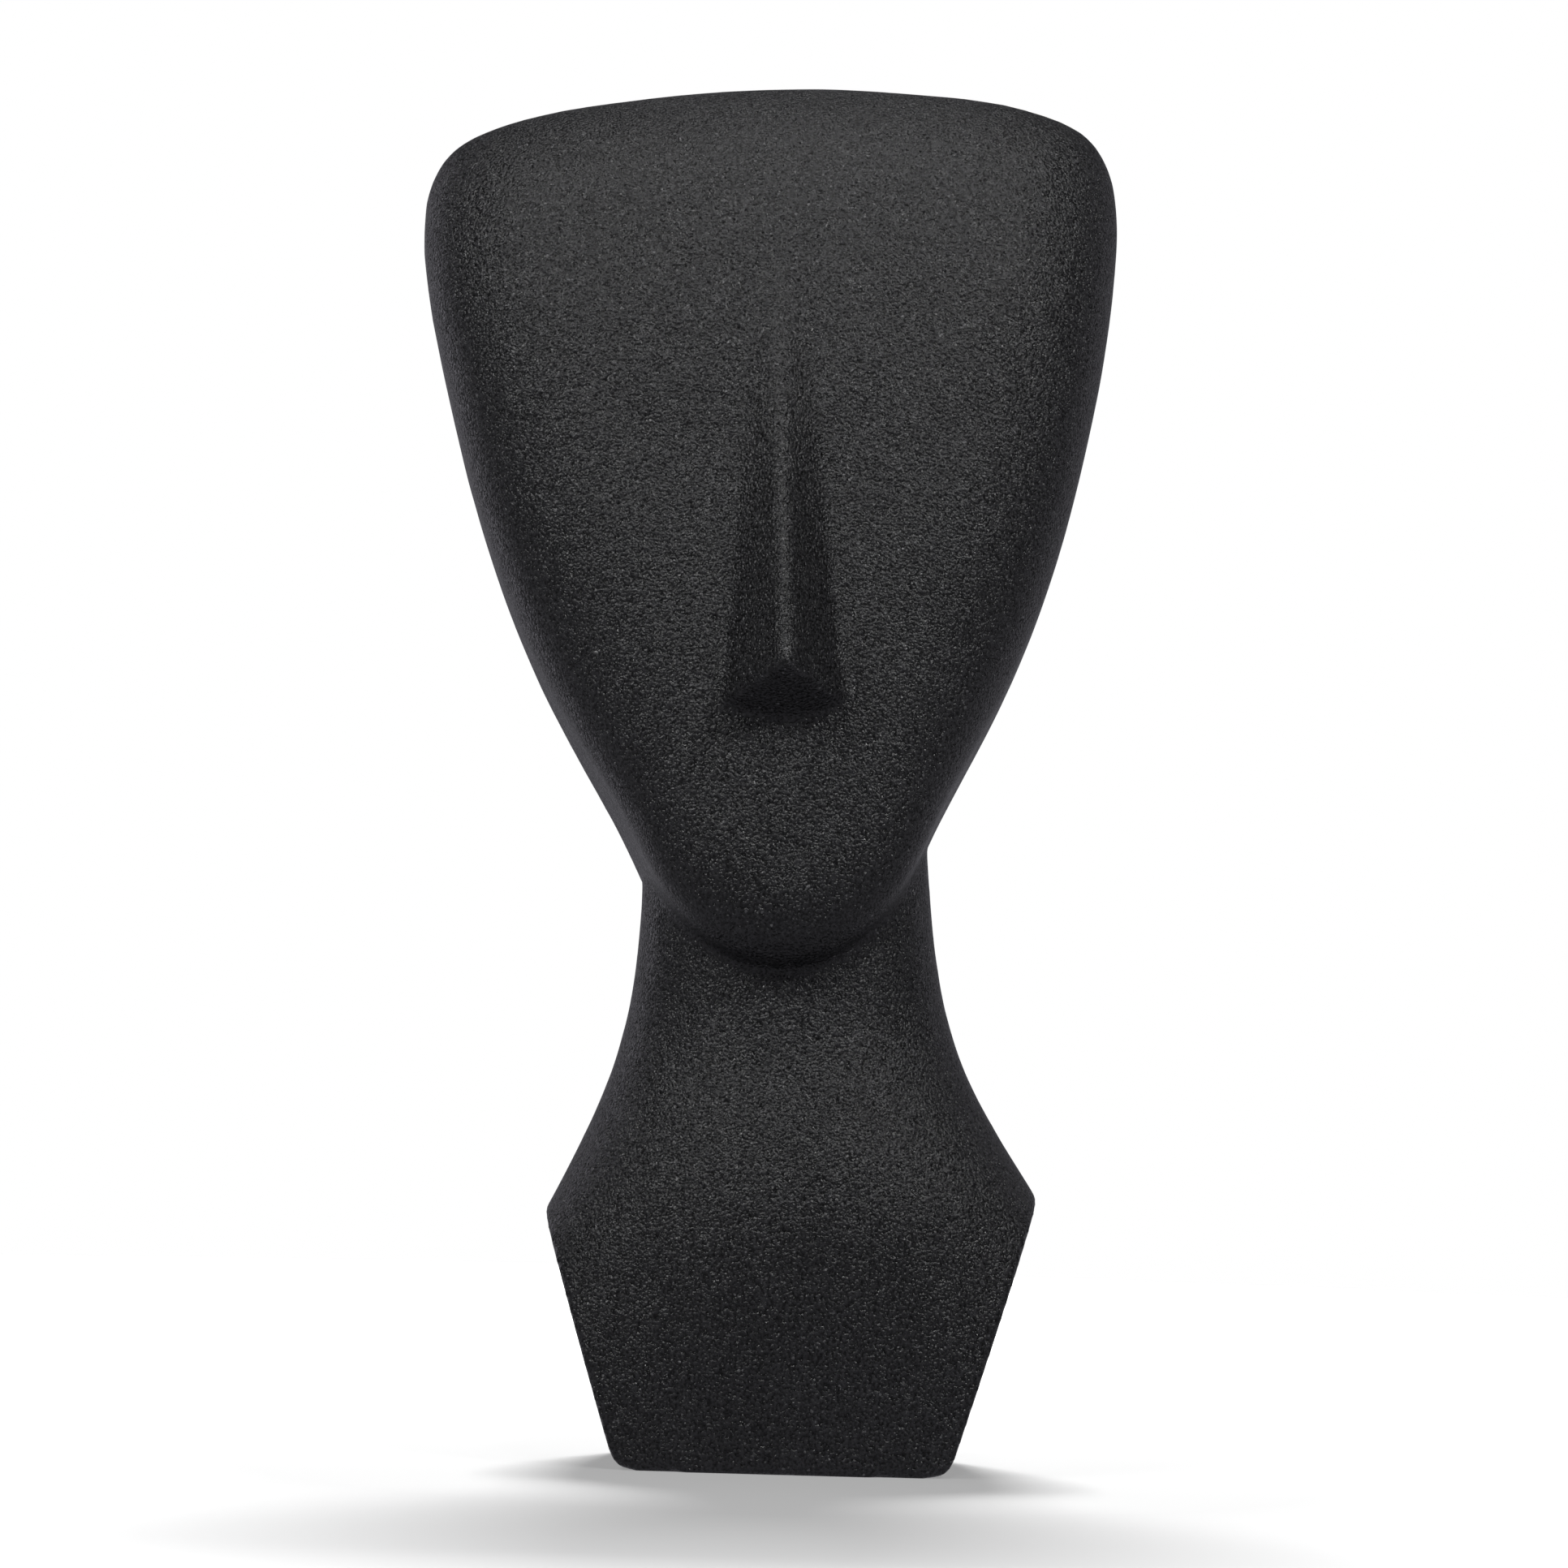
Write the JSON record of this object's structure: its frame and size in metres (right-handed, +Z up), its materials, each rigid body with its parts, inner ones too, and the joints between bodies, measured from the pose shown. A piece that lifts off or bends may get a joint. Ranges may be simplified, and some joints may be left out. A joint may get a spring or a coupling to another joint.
{
  "type": "face figurine",
  "caption": "Stylised table-top head: a shield-shaped face with a long wedge nose, on a high neck and a small bust trimmed flat at its sides and base.",
  "frame": {"origin": "middle of the flat underside that the figurine stands on", "axes": "+Z up; the face looks along -Y; +X is on the right of someone who looks at the face"},
  "size_m": [0.1524, 0.0942, 0.3012],
  "materials": {
    "stone_resin": "matt black with a fine sandy grain"
  },
  "bodies": {
    "root": {"face_figurine": "stone_resin"}
  },
  "joints": []
}
